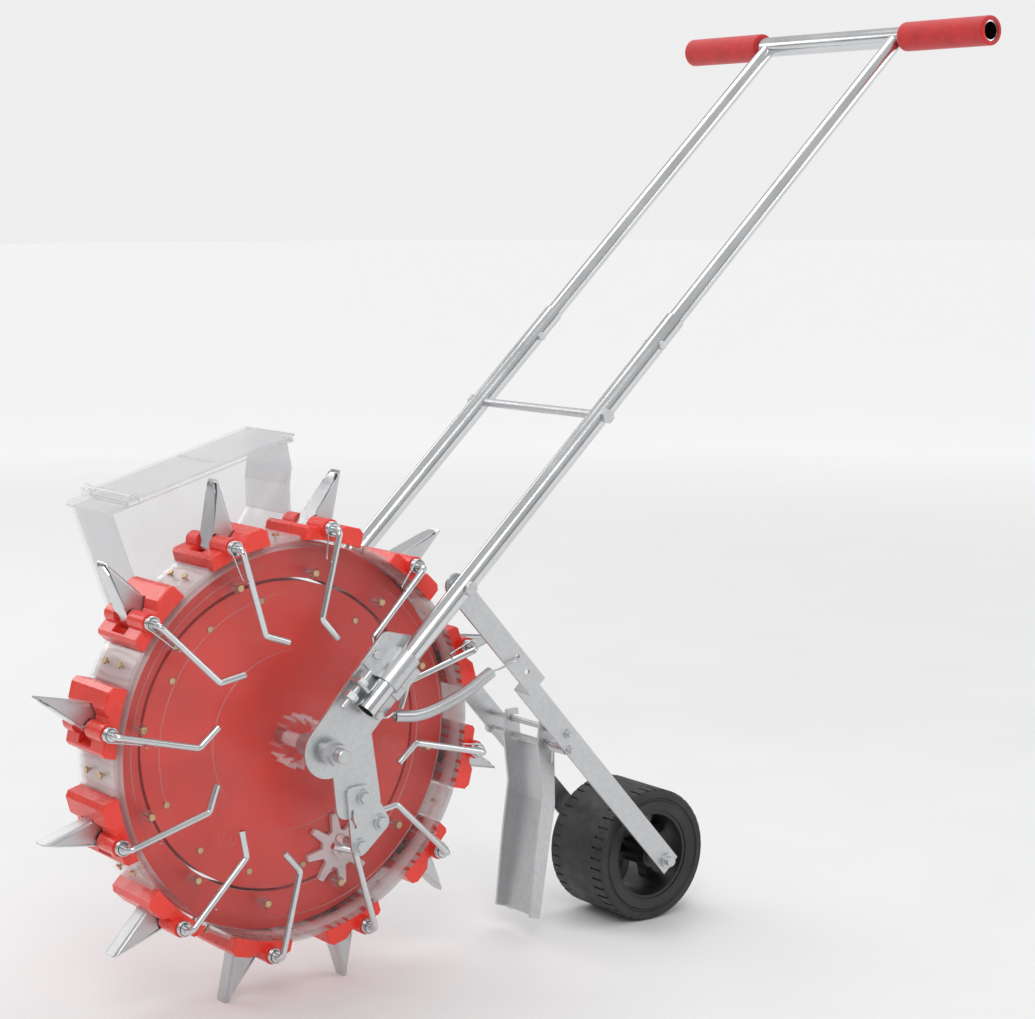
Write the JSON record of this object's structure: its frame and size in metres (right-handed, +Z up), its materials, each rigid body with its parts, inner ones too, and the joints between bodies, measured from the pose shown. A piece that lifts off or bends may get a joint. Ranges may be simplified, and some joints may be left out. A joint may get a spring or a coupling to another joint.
{
  "type": "push seeder",
  "caption": "Hand-pushed rotary seeder: duckbill spouts round a clear-rimmed wheel, side hopper, twin-tube handle, sprung press roller and soil coverer",
  "frame": {"origin": "on the ground, below the centre of the bounding box", "axes": "+X back towards the handlebar and the person pushing, +Y to the hopper side, +Z up"},
  "size_m": [0.9878, 0.468, 0.9522],
  "materials": {
    "zinc": "satin",
    "chrome": "gloss",
    "stainless": "satin",
    "brass": "gloss",
    "red_plastic": "gloss",
    "clear_plastic": "gloss",
    "white_plastic": "satin",
    "foam": "matte",
    "tyre": "matte",
    "black_plastic": "satin"
  },
  "bodies": {
    "frame": {"main_plate_left": "zinc", "main_plate_right": "zinc", "saddle_clamps": "zinc", "clamp_screws": "zinc", "adjuster_bolts": "zinc", "axle": "zinc", "axle_nuts": "zinc", "axle_spacers": "stainless", "cam_bracket": "zinc", "cam_plate": "zinc", "cam_bolts": "zinc", "lower_tube_left": "chrome", "lower_tube_right": "chrome", "cross_brace": "zinc", "tube_bolts": "zinc", "seed_drum": "red_plastic", "drum_screws": "brass", "hopper": "clear_plastic", "tension_spring": "chrome"},
    "wheel": {"near_cover": "clear_plastic", "near_rim": "clear_plastic", "far_cover": "clear_plastic", "funnel_ring": "red_plastic", "drive_posts": "clear_plastic", "post_screws": "brass", "duckbill_bases": "red_plastic", "fixed_jaws": "stainless", "lever_springs": "chrome", "rim_spacers": "clear_plastic", "rim_screws": "brass"},
    "star": {"star_wheel": "white_plastic", "metering_roller": "white_plastic"},
    "upper_handle": {"upper_tube_left": "chrome", "upper_tube_right": "chrome", "crossbar": "chrome", "grip_left": "foam", "grip_right": "foam"},
    "lid": {"hopper_lid": "clear_plastic"},
    "rear_arm": {"rear_arm_left": "zinc", "rear_arm_right": "zinc", "arm_pins": "zinc", "roller_axle": "zinc"},
    "coverer": {"coverer": "zinc", "coverer_spring": "chrome"},
    "roller": {"roller_tyre": "tyre", "roller_rim": "black_plastic"},
    "cam_roller_1": {"cam_roller_1": "white_plastic"},
    "cam_roller_2": {"cam_roller_2": "white_plastic"},
    "flap_01": {"flap_01": "chrome"},
    "flap_02": {"flap_02": "chrome"},
    "flap_03": {"flap_03": "chrome"},
    "flap_04": {"flap_04": "chrome"},
    "flap_05": {"flap_05": "chrome"},
    "flap_06": {"flap_06": "chrome"},
    "flap_07": {"flap_07": "chrome"},
    "flap_08": {"flap_08": "chrome"},
    "flap_09": {"flap_09": "chrome"},
    "flap_10": {"flap_10": "chrome"},
    "flap_11": {"flap_11": "chrome"},
    "flap_12": {"flap_12": "chrome"}
  },
  "joints": [
    {"name": "wheel_spin", "type": "hinge", "parent": "frame", "child": "wheel", "pos_m": [-0.24133, 0, 0.2526], "axis": [0, -1, 0], "continuous": true},
    {"name": "star_spin", "type": "hinge", "parent": "frame", "child": "star", "pos_m": [-0.17933, 0, 0.1312], "axis": [0, -1, 0], "continuous": true},
    {"name": "cam_roller_1_spin", "type": "hinge", "parent": "frame", "child": "cam_roller_1", "pos_m": [-0.18399, 0, 0.17623], "axis": [0, -1, 0], "continuous": true},
    {"name": "cam_roller_2_spin", "type": "hinge", "parent": "frame", "child": "cam_roller_2", "pos_m": [-0.20739, 0, 0.1562], "axis": [0, -1, 0], "continuous": true},
    {"name": "handle_slide", "type": "slide", "parent": "frame", "child": "upper_handle", "axis": [0.7266, 0, 0.6871], "range_m": [0, 0.08]},
    {"name": "lid_hinge", "type": "hinge", "parent": "frame", "child": "lid", "pos_m": [-0.37416, 0, 0.48846], "axis": [0, -1, 0], "range_deg": [0, 110]},
    {"name": "arm_swing", "type": "hinge", "parent": "frame", "child": "rear_arm", "pos_m": [-0.0941, 0, 0.39527], "axis": [0, 1, 0], "range_deg": [0, 8], "stiffness_Nm_per_rad": 3, "springref_deg": 17.19, "deforming": ["tension_spring"]},
    {"name": "coverer_tilt", "type": "hinge", "parent": "rear_arm", "child": "coverer", "pos_m": [0.06157, 0, 0.2073], "axis": [0, -1, 0], "range_deg": [0, 20], "stiffness_Nm_per_rad": 1.5, "springref_deg": -11.46},
    {"name": "roller_spin", "type": "hinge", "parent": "rear_arm", "child": "roller", "pos_m": [0.19146, 0, 0.0708], "axis": [0, -1, 0], "continuous": true},
    {"name": "flap_01_hinge", "type": "hinge", "parent": "wheel", "child": "flap_01", "pos_m": [-0.31231, 0, 0.44496], "axis": [0, -1, 0], "range_deg": [0, 10], "stiffness_Nm_per_rad": 0.5, "springref_deg": -17.19},
    {"name": "flap_02_hinge", "type": "hinge", "parent": "wheel", "child": "flap_02", "pos_m": [-0.20662, 0, 0.45468], "axis": [0, -1, 0], "range_deg": [0, 10], "stiffness_Nm_per_rad": 0.5, "springref_deg": -17.19},
    {"name": "flap_03_hinge", "type": "hinge", "parent": "wheel", "child": "flap_03", "pos_m": [-0.11023, 0, 0.41025], "axis": [0, -1, 0], "range_deg": [0, 10], "stiffness_Nm_per_rad": 0.5, "springref_deg": -17.19},
    {"name": "flap_04_hinge", "type": "hinge", "parent": "wheel", "child": "flap_04", "pos_m": [-0.04897, 0, 0.32358], "axis": [0, -1, 0], "range_deg": [0, 10], "stiffness_Nm_per_rad": 0.5, "springref_deg": -17.19},
    {"name": "flap_05_hinge", "type": "hinge", "parent": "wheel", "child": "flap_05", "pos_m": [-0.03926, 0, 0.21788], "axis": [0, -1, 0], "range_deg": [0, 10], "stiffness_Nm_per_rad": 0.5, "springref_deg": -17.19},
    {"name": "flap_06_hinge", "type": "hinge", "parent": "wheel", "child": "flap_06", "pos_m": [-0.08369, 0, 0.1215], "axis": [0, -1, 0], "range_deg": [0, 10], "stiffness_Nm_per_rad": 0.5, "springref_deg": -17.19},
    {"name": "flap_07_hinge", "type": "hinge", "parent": "wheel", "child": "flap_07", "pos_m": [-0.17036, 0, 0.06024], "axis": [0, -1, 0], "range_deg": [0, 10], "stiffness_Nm_per_rad": 0.5, "springref_deg": -17.19},
    {"name": "flap_08_hinge", "type": "hinge", "parent": "wheel", "child": "flap_08", "pos_m": [-0.27605, 0, 0.05052], "axis": [0, -1, 0], "range_deg": [0, 10], "stiffness_Nm_per_rad": 0.5, "springref_deg": -17.19},
    {"name": "flap_09_hinge", "type": "hinge", "parent": "wheel", "child": "flap_09", "pos_m": [-0.37244, 0, 0.09495], "axis": [0, -1, 0], "range_deg": [0, 10], "stiffness_Nm_per_rad": 0.5, "springref_deg": -17.19},
    {"name": "flap_10_hinge", "type": "hinge", "parent": "wheel", "child": "flap_10", "pos_m": [-0.4337, 0, 0.18163], "axis": [0, -1, 0], "range_deg": [0, 10], "stiffness_Nm_per_rad": 0.5, "springref_deg": -17.19},
    {"name": "flap_11_hinge", "type": "hinge", "parent": "wheel", "child": "flap_11", "pos_m": [-0.44342, 0, 0.28732], "axis": [0, -1, 0], "range_deg": [0, 10], "stiffness_Nm_per_rad": 0.5, "springref_deg": -17.19},
    {"name": "flap_12_hinge", "type": "hinge", "parent": "wheel", "child": "flap_12", "pos_m": [-0.39898, 0, 0.38371], "axis": [0, -1, 0], "range_deg": [0, 10], "stiffness_Nm_per_rad": 0.5, "springref_deg": -17.19}
  ],
  "couplings": [
    {"joint": "star_spin", "follows": "wheel_spin", "ratio": 1.5}
  ]
}
